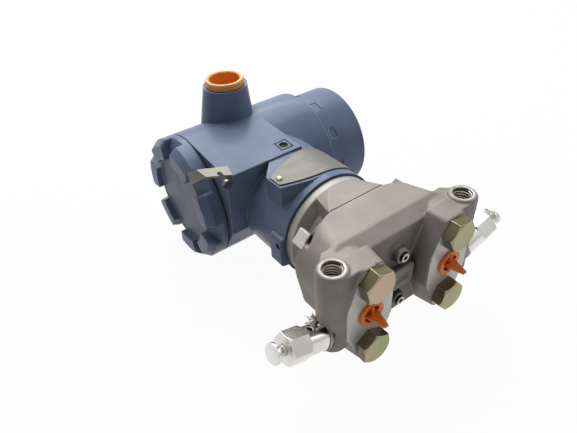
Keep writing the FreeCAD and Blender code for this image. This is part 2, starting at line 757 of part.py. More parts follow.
def drive_screw(at, direction):
    """Round-headed drive screw; its shank stops in the plate."""
    return turned([(0, 0), (1.9, 0), (1.7, 0.7), (1.0, 1.2), (0, 1.3)], at, direction)


def nameplate_screws():
    surface = neck_r + plate_fit * 2 + plate_thickness
    turn = math.radians(-24)
    out = V(math.cos(turn), math.sin(turn), 0)
    return grouped([drive_screw(V(-name_pad_left + 4.2, -surface, 77), -Y_DIR),
                    drive_screw(out * surface + Z_DIR * 80, out)])


def conduit_plug():
    """Moulded cup pushed into the conduit entry, with a rim standing above the boss."""
    start = V(conduit_x, conduit_plug_top, conduit_z)
    depth = 18.0
    rim_base = conduit_rim_y - conduit_plug_top
    return turned([(conduit_plug_cup_r, 0), (conduit_plug_cup_r + 0.8, -0.6),
                   (conduit_plug_rim_r - 0.6, -0.6), (conduit_plug_rim_r, 0.2),
                   (conduit_plug_rim_r, rim_base - 0.05),
                   (conduit_bore_r - 0.1, rim_base - 0.05), (conduit_bore_r - 0.3, depth), (0, depth),
                   (0, depth - 1.5), (conduit_plug_cup_r - 0.6, depth - 1.5)], start, Y_DIR)


def ground_hole_plug():
    return rod(ground_hole_r - 0.05, V(0, -skirt_front, ground_hole_z), Y_DIR, 3.0)


# ---- covers ---------------------------------------------------------------------------
near_face = near_end - near_gap
near_top = near_face - near_cover_length
far_face = far_end + far_gap
far_top = far_face + far_cover_length


def cover_lug(angle):
    """One castle of the terminal cover: a block from the disc to the rim, chamfered in front."""
    length = near_cover_length - near_rim + 1.5
    profile = [V(lug_inner_r, 0, 0), V(lug_front_r, 0, 0), V(lug_outer_r, 0, length * 0.45),
               V(lug_outer_r, 0, length), V(lug_inner_r, 0, length)]
    lug = face_of(profile).revolve(V(0, 0, 0), Z_DIR, lug_angle)
    ends = [e for e in lug.Edges if min(v.Point.Length for v in e.Vertexes) > lug_inner_r + 2
            and abs(e.Vertexes[0].Z - e.Vertexes[-1].Z) > 1]
    lug = lug.makeFillet(lug_blend, ends)
    lug.rotate(V(0, 0, 0), Z_DIR, -lug_angle / 2)
    out = around_barrel(angle)
    side = X_DIR.cross(out)
    seated = FreeCAD.Placement(barrel_axis(near_top), FreeCAD.Rotation(out, side, X_DIR))
    lug.Placement = seated * lug.Placement
    return lug


def cover_floor():
    """Place of the terminal cover's outer disc along the barrel."""
    return near_face - cover_floor_back


def terminal_cover():
    outer = lug_outer_r
    floor = cover_floor()
    spigot_end = near_end + thread_length - 0.5
    screwed_r = thread_r - thread_fit
    inner = screwed_r - spigot_wall
    shell = barrel_turned([(floor + label_recess, 0), (floor + label_recess, label_r + 0.2),
                           (floor, label_r + 0.2), (floor, lug_inner_r + 1),
                           (near_face - near_rim, outer - 1.2),
                           (near_face - near_rim + 1.0, outer), (near_face - 0.3, outer),
                           (near_face, outer - 0.3), (near_face, screwed_r),
                           (spigot_end, screwed_r), (spigot_end, inner), (floor + 4.2, inner),
                           (floor + 4.2, 0)])
    lugs = [cover_lug(lug_first + i * 360.0 / lug_count) for i in range(lug_count)]
    return fused([shell] + lugs)


def cover_label():
    back = cover_floor() + label_recess - 0.02
    return rod(label_r, barrel_axis(back), -X_DIR, label_thickness)


def flat_ring(x0, x1, inner, outer):
    return barrel_turned([(x0, inner), (x0, outer), (x1, outer), (x1, inner)])


def terminal_cover_seal():
    return flat_ring(near_face + 0.02, near_end - 0.02, thread_r + 0.1, barrel_r - 0.5)


def display_cover_seal():
    return flat_ring(far_end + 0.2, far_face - 0.2, far_thread_r + 0.1, far_cover_r - 0.2)


def display_cover():
    spigot_end = far_end - thread_length + 0.5
    screwed_r = far_thread_r - thread_fit
    inner = screwed_r - spigot_wall
    seat = far_top - glass_back
    round_r = far_cover_r - far_end_r
    round_start = V(far_top - round_r, 0, far_cover_r)
    round_end = V(far_top, 0, far_end_r)
    middle = V(far_top - round_r, 0, far_end_r) + V(1, 0, 1).normalize() * round_r
    outside = [(spigot_end, inner), (spigot_end, screwed_r), (far_face, screwed_r),
               (far_face, far_cover_r - 0.3), (far_face + 0.3, far_cover_r)]
    inside = [(far_top, window_r + 0.8), (far_top - 0.8, window_r), (seat, window_r), (seat, glass_r + 0.1),
              (far_face + 2, glass_r + 0.1), (far_face + 2, inner)]
    up = [V(x, 0, r) for x, r in outside] + [round_start]
    back = [round_end] + [V(x, 0, r) for x, r in inside] + [up[0]]
    edges = [Part.makeLine(a, b) for a, b in zip(up[:-1], up[1:])]
    edges.append(Part.Arc(round_start, middle, round_end).toShape())
    edges += [Part.makeLine(a, b) for a, b in zip(back[:-1], back[1:])]
    shell = Part.Face(Part.Wire(edges)).revolve(V(0, 0, 0), X_DIR, 360)
    shell.translate(barrel_axis(0))
    grips = []
    for i in range(grip_count):
        out = around_barrel(grip_first + i * 360.0 / grip_count)
        pocket = box(-2.4, 2.4, -3.6, 3.6, -grip_depth, 2)
        at = barrel_axis(far_face + 6.0) + out * far_cover_r
        pocket.Placement = FreeCAD.Placement(at, FreeCAD.Rotation(X_DIR, out.cross(X_DIR), out))
        grips.append(pocket)
    return cut(shell, grips)


def glass_seal():
    seat = far_top - glass_back
    return flat_ring(seat - 0.8, seat - 0.02, window_r + 0.2, glass_r)


def display_glass():
    back = far_top - glass_back - 0.82 - glass_thickness
    front = back + glass_thickness
    return barrel_turned([(back, 0), (back, glass_r), (front, glass_r), (front, 0)])


def glass_ring():
    front = far_top - glass_back - 0.84 - glass_thickness
    return flat_ring(front - 2.5, front, glass_r - 2.5, glass_r)


# ---- cover clamp ----------------------------------------------------------------------
def cover_clamp():
    """Strip screwed to the front flat, its end bent in over the terminal cover."""
    outer = [on_front(x, z, clamp_thickness + 0.05) for x, z in clamp_plan]
    inward = on_front(0, skirt_bottom, 0) - on_front(0, skirt_bottom, clamp_thickness)
    plate = face_of(outer).extrude(inward)
    tip = [V(x, y, z) for x, y, z in clamp_hook]
    bent = [outer[0], outer[1], tip[0]]
    normal = (bent[1] - bent[0]).cross(bent[2] - bent[1]).normalize()
    across = tip[1] - outer[0]
    bent.append(tip[1] - normal * across.dot(normal))
    if normal.dot(inward) < 0:
        normal = -normal
    tab = face_of(bent).extrude(normal * clamp_thickness)
    slot = box(clamp_slot_x - clamp_slot_r, clamp_slot_x + clamp_slot_r, -60, 0, 60, clamp_slot_z)
    return cut(fused([plate, tab]), [slot, rod(clamp_slot_r, V(clamp_slot_x, -60, clamp_slot_z), Y_DIR, 60)])


def clamp_screw():
    """Slotted head below the ledge."""
    top = V(clamp_screw_x, clamp_screw_y, skirt_bottom - 0.02)
    slot = box(top.x - 4, top.x + 4, top.y - 0.35, top.y + 0.35, top.z - clamp_screw_height - 1,
               top.z - clamp_screw_height + 0.9)
    return rod(clamp_screw_r, top, -Z_DIR, clamp_screw_height).cut(slot)


# ---- inside the housing ---------------------------------------------------------------
def terminal_block():
    start = barrel_axis(wall_near - 0.02)
    face = wall_near - 0.02 - block_depth
    pocket = box(face - 1, face + block_pocket, barrel_y - 19, barrel_y + 19, barrel_z - 8, barrel_z + 8)
    return rod(block_r, start, -X_DIR, block_depth).cut(pocket)


def terminal_screws():
    at_x = wall_near - 0.04 - block_depth + block_pocket
    screws = []
    for i in range(4):
        at = V(at_x, barrel_y + (i - 1.5) * terminal_pitch, barrel_z)
        slot = box(at.x - 3, at.x - 1.4, at.y - 4, at.y + 4, at.z - 0.4, at.z + 0.4)
        screws.append(rod(3.0, at, -X_DIR, 2.4).cut(slot))
    return grouped(screws)


def board_standoffs():
    posts = []
    for i in range(3):
        at = barrel_axis(wall_far + 0.02) + around_barrel(90 + 120 * i) * 24
        posts.append(rod(2.5, at, X_DIR, board_standing - 0.04))
    return grouped(posts)


def electronics_board():
    return rod(29.0, barrel_axis(wall_far + board_standing), X_DIR, board_thickness)


module_back = wall_far + board_standing + board_thickness + 0.02


def display_module():
    case = rod(26.5, barrel_axis(module_back), X_DIR, display_depth)
    front = module_back + display_depth
    window = box(front - display_recess, front + 1, barrel_y - 17, barrel_y + 17, barrel_z - 9, barrel_z + 12)
    return case.cut(window)


def display_panel():
    back = module_back + display_depth - display_recess + 0.05
    return box(back, back + 1.05, barrel_y - 16.8, barrel_y + 16.8, barrel_z - 8.8, barrel_z + 11.8)


# ---- write the pieces -----------------------------------------------------------------
os.makedirs("parts", exist_ok=True)

pieces = {
    "coplanar_flange": coplanar_flange(),
    "flange_bolts": flange_bolts(),
    "alignment_screws": alignment_screws(),
    "isolating_diaphragms": isolating_diaphragms(),
    "diaphragm_seals": diaphragm_seals(),
    "drain_valve_body_right": valve_body(),
    "drain_valve_body_left": mirrored(valve_body()),
    "drain_ball_right": drain_ball(),
    "drain_ball_left": mirrored(drain_ball()),
    "drain_stem_right": drain_stem(),
    "drain_stem_left": mirrored(drain_stem()),
    "thread_sealing_tape": sealing_tape(),
    "port_plug_right": port_plug(),
    "port_plug_left": mirrored(port_plug()),
    "sensor_module": sensor_module(),
    "neck_seal": neck_seal(),
    "electronics_housing": electronics_housing(),
    "rotation_set_screw": rotation_set_screw(),
    "nameplate": nameplate(),
    "nameplate_screws": nameplate_screws(),
    "conduit_plug": conduit_plug(),
    "ground_hole_plug": ground_hole_plug(),
    "terminal_cover": terminal_cover(),
    "terminal_cover_label": cover_label(),
    "terminal_cover_seal": terminal_cover_seal(),
    "cover_clamp": cover_clamp(),
    "clamp_screw": clamp_screw(),
    "display_cover": display_cover(),
    "display_cover_seal": display_cover_seal(),
    "glass_seal": glass_seal(),
    "display_glass": display_glass(),
    "glass_retaining_ring": glass_ring(),
    "terminal_block": terminal_block(),
    "terminal_screws": terminal_screws(),
    "electronics_board": electronics_board(),
    "board_standoffs": board_standoffs(),
    "display_module": display_module(),
    "display_panel": display_panel(),
}
for node, shape in pieces.items():
    export(node, shape)
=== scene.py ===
import json
import math
import random

import bmesh
import bpy
from mathutils import Matrix, Vector


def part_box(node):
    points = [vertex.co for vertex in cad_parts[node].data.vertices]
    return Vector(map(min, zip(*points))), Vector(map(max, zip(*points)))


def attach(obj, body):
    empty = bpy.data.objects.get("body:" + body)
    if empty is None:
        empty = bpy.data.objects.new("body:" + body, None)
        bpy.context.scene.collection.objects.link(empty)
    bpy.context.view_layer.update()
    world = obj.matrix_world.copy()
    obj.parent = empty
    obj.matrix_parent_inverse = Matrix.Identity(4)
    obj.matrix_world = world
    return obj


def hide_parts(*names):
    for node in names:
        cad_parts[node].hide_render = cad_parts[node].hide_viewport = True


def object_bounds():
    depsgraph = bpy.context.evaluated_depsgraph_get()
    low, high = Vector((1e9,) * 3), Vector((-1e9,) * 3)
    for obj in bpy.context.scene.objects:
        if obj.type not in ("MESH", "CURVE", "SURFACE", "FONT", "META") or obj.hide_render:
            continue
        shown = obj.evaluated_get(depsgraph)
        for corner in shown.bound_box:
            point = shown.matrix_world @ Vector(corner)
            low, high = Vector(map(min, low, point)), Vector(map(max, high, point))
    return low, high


# Differential pressure transmitter: a stainless process flange with drain valves, a sensor
# module on it and a painted electronics housing with two screwed covers on top.
# Metres. Z runs up the neck, X along the housing's barrel, and -Y out of the bracket holes.
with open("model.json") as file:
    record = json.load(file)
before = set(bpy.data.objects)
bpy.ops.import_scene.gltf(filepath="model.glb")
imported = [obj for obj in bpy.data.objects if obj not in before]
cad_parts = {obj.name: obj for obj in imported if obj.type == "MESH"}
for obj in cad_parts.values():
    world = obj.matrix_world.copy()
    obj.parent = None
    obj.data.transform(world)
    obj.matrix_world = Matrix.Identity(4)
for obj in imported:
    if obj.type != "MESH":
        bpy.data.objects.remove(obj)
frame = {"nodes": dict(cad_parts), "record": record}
cad_low, cad_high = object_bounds()
nodes = frame["nodes"]
joints = {joint["name"]: joint for joint in frame["record"]["behaviour"]["joints"]}


# ---- Process flange -------------------------------------------------------------------
# One investment casting in stainless steel, tumbled to a matt skin. The foot faces, the
# corner lugs' faces, the two bracket bosses, the cup for the module and the bores are cut.
CAST_LIT = (0.270, 0.245, 0.222)
CAST_WARM = (0.215, 0.194, 0.170)
# Painted shade for the recesses, also the colour of the dark specks
CAST_SHADE_AND_SPECKS = (0.050, 0.047, 0.039)
# Cut metal, also laid on the edges partly as wear and partly as painted highlight
MACHINED_AND_EDGE_HIGHLIGHT = (0.60, 0.59, 0.57)
hole_mount = next(mount for mount in frame["record"]["mounts"] if mount["name"] == "bracket_holes")
HOLE_RADIUS = hole_mount["dims"]["hole_r_mm"] / 1000
HOLE_SPACING = hole_mount["dims"]["spacing_x_mm"] / 1000
BORE_DEPTH = 0.0200
BORE_MARGIN = 0.0004            # outside its wall
FOOT_CRISP = 0.0004             # height above the foot faces that stays crisp
FOOT_BRIGHT = 0.0007            # height above them that is bright
BOSS_RADIUS = 0.0078
BOSS_DEPTH = 0.0016
CORNER_NORMAL = (0.733, 0.680)  # along X and -Y, out of each front corner
CORNER_LUG_FACE = 0.0205        # along that normal
CORNER_LUG_LOW = 0.0280
CUP_FLOOR = 0.0190
CUP_FRONT = 0.0037
CUP_SIDE = 0.0364
CUP_CORNER = 0.0161             # along the corner's normal
flange_low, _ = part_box("coplanar_flange")


def node_group(name, inputs, outputs):
    """New shader group: float inputs with their values, outputs as (name, kind)."""
    tree = bpy.data.node_groups.new(name, "ShaderNodeTree")
    for label, value in inputs:
        socket = tree.interface.new_socket(label, in_out="INPUT", socket_type="NodeSocketFloat")
        socket.default_value = value
    for label, kind in outputs:
        tree.interface.new_socket(label, in_out="OUTPUT", socket_type="NodeSocket" + kind)
    return tree, tree.nodes.new("NodeGroupInput"), tree.nodes.new("NodeGroupOutput")


def feed(tree, socket, value):
    """Links a socket, or sets it to a number, a direction or a colour."""
    if isinstance(value, bpy.types.NodeSocket):
        tree.links.new(value, socket)
    elif isinstance(value, tuple) and len(socket.default_value) == 4:
        socket.default_value = (*value, 1)
    else:
        socket.default_value = value


def arithmetic(tree, operation, first, second=0.0):
    node = tree.nodes.new("ShaderNodeMath")
    node.operation = operation
    feed(tree, node.inputs[0], first)
    feed(tree, node.inputs[1], second)
    return node.outputs[0]


def magnitude(tree, value):
    return arithmetic(tree, "ABSOLUTE", value)


def hypotenuse(tree, across, up):
    squares = arithmetic(tree, "ADD", arithmetic(tree, "MULTIPLY", across, across),
                         arithmetic(tree, "MULTIPLY", up, up))
    return arithmetic(tree, "SQRT", squares)


def dot_product(tree, first, second):
    node = tree.nodes.new("ShaderNodeVectorMath")
    node.operation = "DOT_PRODUCT"
    feed(tree, node.inputs[0], first)
    feed(tree, node.inputs[1], second)
    return node.outputs["Value"]


def remap(tree, value, low, high, to_low=0.0, to_high=1.0):
    node = tree.nodes.new("ShaderNodeMapRange")
    feed(tree, node.inputs["Value"], value)
    feed(tree, node.inputs["From Min"], low)
    feed(tree, node.inputs["From Max"], high)
    feed(tree, node.inputs["To Min"], to_low)
    feed(tree, node.inputs["To Max"], to_high)
    return node.outputs["Result"]


def blend_colour(tree, mask, first, second):
    node = tree.nodes.new("ShaderNodeMix")
    node.data_type = "RGBA"
    feed(tree, node.inputs[0], mask)
    feed(tree, node.inputs[6], first)
    feed(tree, node.inputs[7], second)
    return node.outputs[2]


def tinted(tree, colour, tone, mask, share):
    """Colour with a tone laid over it where a mask is, at most by a share."""
    return blend_colour(tree, arithmetic(tree, "MULTIPLY", mask, share), colour, tone)


def object_place(tree):
    return tree.nodes.new("ShaderNodeTexCoord").outputs["Object"]


def noise(tree, scale, detail=4.0, stretch=(1, 1, 1)):
    """Cloudy noise on object coordinates, drawn out where stretch is under 1."""
    mapping = tree.nodes.new("ShaderNodeMapping")
    mapping.inputs["Scale"].default_value = stretch
    tree.links.new(object_place(tree), mapping.inputs["Vector"])
    node = tree.nodes.new("ShaderNodeTexNoise")
    node.inputs["Scale"].default_value = scale
    node.inputs["Detail"].default_value = detail
    tree.links.new(mapping.outputs["Vector"], node.inputs["Vector"])
    return node.outputs["Fac"]


def facing(tree, direction):
    """Cosine between the surface and a direction."""
    return dot_product(tree, tree.nodes.new("ShaderNodeNewGeometry").outputs["Normal"], direction)


def coordinate(tree, axis):
    split = tree.nodes.new("ShaderNodeSeparateXYZ")
    tree.links.new(object_place(tree), split.inputs["Vector"])
    return split.outputs[axis]


def build_skin():
    """Grain, mottling and a few specks, as a height and two masks."""
    tree, given, out = node_group("skin", [("Grain Size", 2400.0)],
                                  [("Height", "Float"), ("Mottle", "Float"), ("Specks", "Float")])
    grain = noise(tree, 2400.0, 3.0)
    tree.links.new(given.outputs["Grain Size"], grain.node.inputs["Scale"])
    waves = noise(tree, 260.0, 3.0)
    tree.links.new(arithmetic(tree, "ADD", grain, waves), out.inputs["Height"])
    tree.links.new(remap(tree, noise(tree, 46.0, 5.0), 0.35, 0.65), out.inputs["Mottle"])
    dots = tree.nodes.new("ShaderNodeTexVoronoi")
    dots.inputs["Scale"].default_value = 330.0
    tree.links.new(object_place(tree), dots.inputs["Vector"])
    small = remap(tree, dots.outputs["Distance"], 0.13, 0.07)
    few = remap(tree, noise(tree, 120.0, 1.0), 0.60, 0.64)
    tree.links.new(arithmetic(tree, "MULTIPLY", small, few), out.inputs["Specks"])
    return tree


def build_softened_edges():
    """Rounded normal along sharp edges, with masks of the edges, where most materials lay a painted
    highlight, and of the sheltered places, where they lay painted shade.
    """
    tree, given, out = node_group("softened edges", [("Radius", 0.0004), ("Shelter", 0.004)],
                                  [("Normal", "Vector"), ("Edge", "Float"), ("Recess Shade", "Float")])
    bevel = tree.nodes.new("ShaderNodeBevel")
    bevel.samples = 6
    tree.links.new(given.outputs["Radius"], bevel.inputs["Radius"])
    tree.links.new(bevel.outputs["Normal"], out.inputs["Normal"])
    tree.links.new(remap(tree, facing(tree, bevel.outputs["Normal"]), 0.995, 0.88), out.inputs["Edge"])
    shelter = tree.nodes.new("ShaderNodeAmbientOcclusion")
    shelter.samples = 6
    tree.links.new(given.outputs["Shelter"], shelter.inputs["Distance"])
    tree.links.new(remap(tree, shelter.outputs["AO"], 0.75, 0.25), out.inputs["Recess Shade"])
    return tree


SKIN = build_skin()
SOFTENED_EDGES = build_softened_edges()


def place_group(tree, made, **values):
    node = tree.nodes.new("ShaderNodeGroup")
    node.node_tree = made
    for name, value in values.items():
        node.inputs[name.replace("_", " ")].default_value = value
    return node.outputs


def new_material(name, metallic=0.0, coat=0.0, roughness=None):
    made = bpy.data.materials.new(name)
    made.use_nodes = True
    shader = made.node_tree.nodes["Principled BSDF"]
    shader.inputs["Metallic"].default_value = metallic
    shader.inputs["Coat Weight"].default_value = coat
    shader.inputs["Coat Roughness"].default_value = 0.1
    if roughness is not None:
        shader.inputs["Roughness"].default_value = roughness
    return made, made.node_tree, shader


def relief(tree, height, strength, depth, normal):
    """Bump of a real depth in metres, over the softened normal."""
    node = tree.nodes.new("ShaderNodeBump")
    node.inputs["Strength"].default_value = strength
    node.inputs["Distance"].default_value = depth
    tree.links.new(height, node.inputs["Height"])
    tree.links.new(normal, node.inputs["Normal"])
    return node.outputs["Normal"]


def finish_with(made, *pieces):
    """Gives a material to CAD nodes, by name, or to new pieces."""
    for piece in pieces:
        obj = nodes[piece] if isinstance(piece, str) else piece
        for slot in obj.material_slots:
            slot.material = made


def cast_stainless(machined_mask):
    """Matt casting with painted shade in its recesses, edges lightened partly by wear and partly as
    painted highlight, and bright where the mask says it is cut.
    """
    made, tree, shader = new_material("cast stainless", metallic=0.35)
    skin = place_group(tree, SKIN, Grain_Size=1900.0)
    edges = place_group(tree, SOFTENED_EDGES, Radius=0.0005, Shelter=0.012)
    colour = blend_colour(tree, skin["Mottle"], CAST_LIT, CAST_WARM)
    # Painted shade in the recesses.
    colour = tinted(tree, colour, CAST_SHADE_AND_SPECKS, edges["Recess Shade"], 0.92)
    colour = tinted(tree, colour, CAST_SHADE_AND_SPECKS, skin["Specks"], 0.5)
    # Edges lightened, partly worn and partly painted highlight.
    rubbed_and_highlit_edges = arithmetic(tree, "MULTIPLY", edges["Edge"], 0.75)
    bright = arithmetic(tree, "MAXIMUM", machined_mask(tree), rubbed_and_highlit_edges)
    feed(tree, shader.inputs["Base Color"], blend_colour(tree, bright, colour, MACHINED_AND_EDGE_HIGHLIGHT))
    feed(tree, shader.inputs["Roughness"], remap(tree, bright, 0.0, 1.0, 0.60, 0.40))
    feed(tree, shader.inputs["Normal"], relief(tree, skin["Height"], 0.5, 0.00012, edges["Normal"]))
    return made


def hole_distance(tree):
    """Distance from the axis of the nearer bracket hole; both axes run along Y through Z = 0."""
    across = arithmetic(tree, "SUBTRACT", magnitude(tree, coordinate(tree, "X")), HOLE_SPACING / 2)
    return hypotenuse(tree, across, coordinate(tree, "Z"))


def flange_machining(tree):
    """1 on the foot faces and the corner lugs' faces, less on the faces of the two bracket bosses."""
    below = remap(tree, facing(tree, (0, 0, -1)), 0.90, 0.97)
    at_foot = arithmetic(tree, "LESS_THAN", coordinate(tree, "Z"), flange_low.z + FOOT_BRIGHT)
    near_hole = remap(tree, hole_distance(tree), HOLE_RADIUS + 0.0016, HOLE_RADIUS + 0.0010, 0.0, 0.55)
    forward = arithmetic(tree, "GREATER_THAN", facing(tree, (0, -1, 0)), 0.9)
    boss = arithmetic(tree, "MULTIPLY", near_hole, forward)
    sideways = arithmetic(tree, "MULTIPLY", magnitude(tree, coordinate(tree, "X")), CORNER_NORMAL[0])
    backward = arithmetic(tree, "MULTIPLY", coordinate(tree, "Y"), CORNER_NORMAL[1])
    outward = arithmetic(tree, "SUBTRACT", sideways, backward)
    proud = arithmetic(tree, "GREATER_THAN", outward, CORNER_LUG_FACE - 0.0001)
    high = arithmetic(tree, "GREATER_THAN", coordinate(tree, "Z"), CORNER_LUG_LOW)
    lug = arithmetic(tree, "MULTIPLY", proud, high)
    feet = arithmetic(tree, "MULTIPLY", below, at_foot)
    return arithmetic(tree, "MAXIMUM", arithmetic(tree, "MAXIMUM", feet, lug), boss)


def applied(piece, modifier):
    """Mesh of a piece with its one modifier, which is then taken off."""
    mesh = bpy.data.meshes.new_from_object(piece.evaluated_get(bpy.context.evaluated_depsgraph_get()))
    piece.modifiers.remove(modifier)
    return mesh


def softened_casting(node, name, voxel, passes, kept_faces, is_cut):
    """Copy of a CAD casting with the foundry's soft fillets; what is_cut picks out stays crisp."""
    shape = bmesh.new()
    shape.from_mesh(nodes[node].data)
    bmesh.ops.remove_doubles(shape, verts=shape.verts, dist=0.000002)
    mesh = bpy.data.meshes.new(name)
    shape.to_mesh(mesh)
    shape.free()
    piece = bpy.data.objects.new(name, mesh)
    bpy.context.scene.collection.objects.link(piece)
    remesh = piece.modifiers.new("even skin", "REMESH")
    remesh.mode = "VOXEL"
    remesh.voxel_size = voxel
    even = applied(piece, remesh)
    shape = bmesh.new()
    shape.from_mesh(even)
    cast = [vert for vert in shape.verts if not is_cut(vert.co)]
    for _ in range(passes):
        bmesh.ops.smooth_vert(shape, verts=cast, factor=0.5,
                              use_axis_x=True, use_axis_y=True, use_axis_z=True)
    for face in shape.faces:
        face.smooth = True
    shape.to_mesh(even)
    shape.free()
    piece.data = even
    thin = piece.modifiers.new("fewer faces", "DECIMATE")
    thin.ratio = kept_faces
    piece.data = applied(piece, thin)
    return piece


def flange_is_cut(place):
    """Foot faces, bracket bosses with their bores, and the cup that takes the module."""
    hole_gap = math.hypot(abs(place.x) - HOLE_SPACING / 2, place.z)
    on_boss = hole_gap < BOSS_RADIUS and place.y < BOSS_DEPTH
    in_bore = hole_gap < HOLE_RADIUS + BORE_MARGIN and place.y < BORE_DEPTH
    outward = abs(place.x) * CORNER_NORMAL[0] - place.y * CORNER_NORMAL[1]
    within_walls = place.y > CUP_FRONT and outward < CUP_CORNER and abs(place.x) < CUP_SIDE
    in_cup = place.z > CUP_FLOOR and within_walls
    return place.z < flange_low.z + FOOT_CRISP or on_boss or in_bore or in_cup


casting = softened_casting("coplanar_flange", "flange_casting", voxel=0.0005, passes=4, kept_faces=0.4,
                           is_cut=flange_is_cut)
casting.data.materials.clear()
casting.data.materials.append(cast_stainless(flange_machining))
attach(casting, "process_flange")
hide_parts("coplanar_flange")


# ---- Threads of the bracket holes -----------------------------------------------------
# Each blind hole is tapped for a bracket bolt. The crests are a helix just inside the bore,
# cut by a tap, bright on the flanks, with painted shade in the roots.
THREAD_PITCH = 0.0015875
THREAD_TURNS = 11
THREAD_HEIGHT = 0.00075
THREAD_LEAD_IN = 0.0003
THREAD_STEPS = 40               # for one turn


def new_piece(name, shape, made, body):
    """Mesh object from a bmesh, with outward faces, riding on a CAD body."""
    bmesh.ops.recalc_face_normals(shape, faces=shape.faces)
    mesh = bpy.data.meshes.new(name)
    for face in shape.faces:
        face.smooth = True
    shape.to_mesh(mesh)
    shape.free()
    piece = bpy.data.objects.new(name, mesh)
    bpy.context.scene.collection.objects.link(piece)
    mesh.materials.append(made)
    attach(piece, body)
    return piece


def thread_crests(centre_x):
    """Helical ridge of a tapped hole, with its roots just behind the wall."""
    shape = bmesh.new()
    wall = HOLE_RADIUS + 0.00004
    start = hole_mount["pos_m"][1] + THREAD_LEAD_IN
    profile = [(wall, start), (HOLE_RADIUS - THREAD_HEIGHT, start + THREAD_PITCH * 0.5),
               (wall, start + THREAD_PITCH * 0.96)]
    corners = [shape.verts.new((centre_x + radius, depth, 0)) for radius, depth in profile]
    flank = shape.faces.new(corners)
    bmesh.ops.spin(shape, geom=[flank, *flank.edges, *flank.verts], cent=(centre_x, 0, 0), axis=(0, 1, 0),
                   dvec=(0, THREAD_PITCH / THREAD_STEPS, 0), angle=math.tau * THREAD_TURNS,
                   steps=THREAD_STEPS * THREAD_TURNS)
    return shape


def tapped_thread():
    made, tree, shader = new_material("tapped thread", metallic=0.85, roughness=0.3)
    # Painted shade in the thread's roots.
    root_shade = remap(tree, hole_distance(tree), HOLE_RADIUS - THREAD_HEIGHT * 0.7,
                 HOLE_RADIUS - THREAD_HEIGHT * 0.2)
    worn = remap(tree, noise(tree, 900.0), 0.4, 0.7)
    crest = blend_colour(tree, worn, (0.85, 0.80, 0.68), (0.62, 0.57, 0.46))
    feed(tree, shader.inputs["Base Color"], blend_colour(tree, root_shade, crest, (0.05, 0.045, 0.035)))
    return made


thread_finish = tapped_thread()
for side, centre_x in (("right", HOLE_SPACING / 2), ("left", -HOLE_SPACING / 2)):
    crests = thread_crests(centre_x)
    thread = new_piece("bracket_hole_thread_" + side, crests, thread_finish, "process_flange")


# ---- Flange bolts and alignment screws ------------------------------------------------
# Four hexagon-headed steel bolts clamp the flange to the module. Their zinc is yellow
# passivated, which drifts between straw, green and red-brown from bolt to bolt.
STRAW = (0.40, 0.35, 0.19)
GREEN = (0.27, 0.31, 0.12)
ROSE = (0.52, 0.37, 0.26)
# Darker tones for the bolt heads' flats, as painted shade
RUSSET_SHADE = (0.060, 0.030, 0.022)
OLIVE_SHADE = (0.10, 0.095, 0.05)
# Painted highlight for the edges
ZINC_EDGE_HIGHLIGHT = (0.66, 0.63, 0.50)


def yellow_zinc(name, ends, sides, drift, metallic=0.75, roughness=0.28):
    """Passivated zinc with one run of colours on the heads' ends and another on the flats, and a painted
    highlight along the edges.
    """
    made, tree, shader = new_material(name, metallic=metallic)
    skin = place_group(tree, SKIN, Grain_Size=3200.0)
    edges = place_group(tree, SOFTENED_EDGES, Radius=0.0004, Shelter=0.003)
    patches = remap(tree, noise(tree, drift, 3.0), 0.38, 0.62)
    below = remap(tree, facing(tree, (0, 0, -1)), 0.55, 0.9)
    flats = blend_colour(tree, patches, *sides)
    colour = blend_colour(tree, below, flats, blend_colour(tree, patches, *ends))
    colour = tinted(tree, colour, STRAW, skin["Mottle"], 0.25)
    # Painted highlight along the edges.
    colour = tinted(tree, colour, ZINC_EDGE_HIGHLIGHT, edges["Edge"], 0.75)
    feed(tree, shader.inputs["Base Color"], colour)
    satin = remap(tree, skin["Mottle"], 0.0, 1.0, roughness, roughness + 0.14)
    feed(tree, shader.inputs["Roughness"], satin)
    feed(tree, shader.inputs["Normal"], relief(tree, skin["Height"], 0.25, 0.00004, edges["Normal"]))
    return made


# The bolts' flats take far darker tones than their ends, as painted shade.
finish_with(yellow_zinc("yellow zinc bolts", ends=(GREEN, ROSE), sides=(RUSSET_SHADE, OLIVE_SHADE), drift=17.0),
            "flange_bolts")


# The two hexagon-socket screws between the bolts are black oxide steel, coloured lighter on the faces that
# look down, with a painted highlight along the edges.
def black_oxide():
    made, tree, shader = new_material("black oxide", metallic=0.6, roughness=0.35)
    edges = place_group(tree, SOFTENED_EDGES, Radius=0.0003, Shelter=0.002)
    rim = remap(tree, facing(tree, (0, 0, -1)), 0.7, 0.95)
    shade = blend_colour(tree, rim, (0.02, 0.02, 0.022), (0.62, 0.60, 0.56))
    # Painted highlight along the edges.
    feed(tree, shader.inputs["Base Color"], blend_colour(tree, edges["Edge"], shade, (0.5, 0.49, 0.46)))
    feed(tree, shader.inputs["Normal"], edges["Normal"])
    return made


finish_with(black_oxide(), "alignment_screws")


# ---- Isolating diaphragms and their seals ---------------------------------------------
# A thin stainless diaphragm, pressed into rings, closes each pressure chamber at the end of
# its port, and a white glass-filled ring seals it to the flange.
RING_PITCH = 0.0021


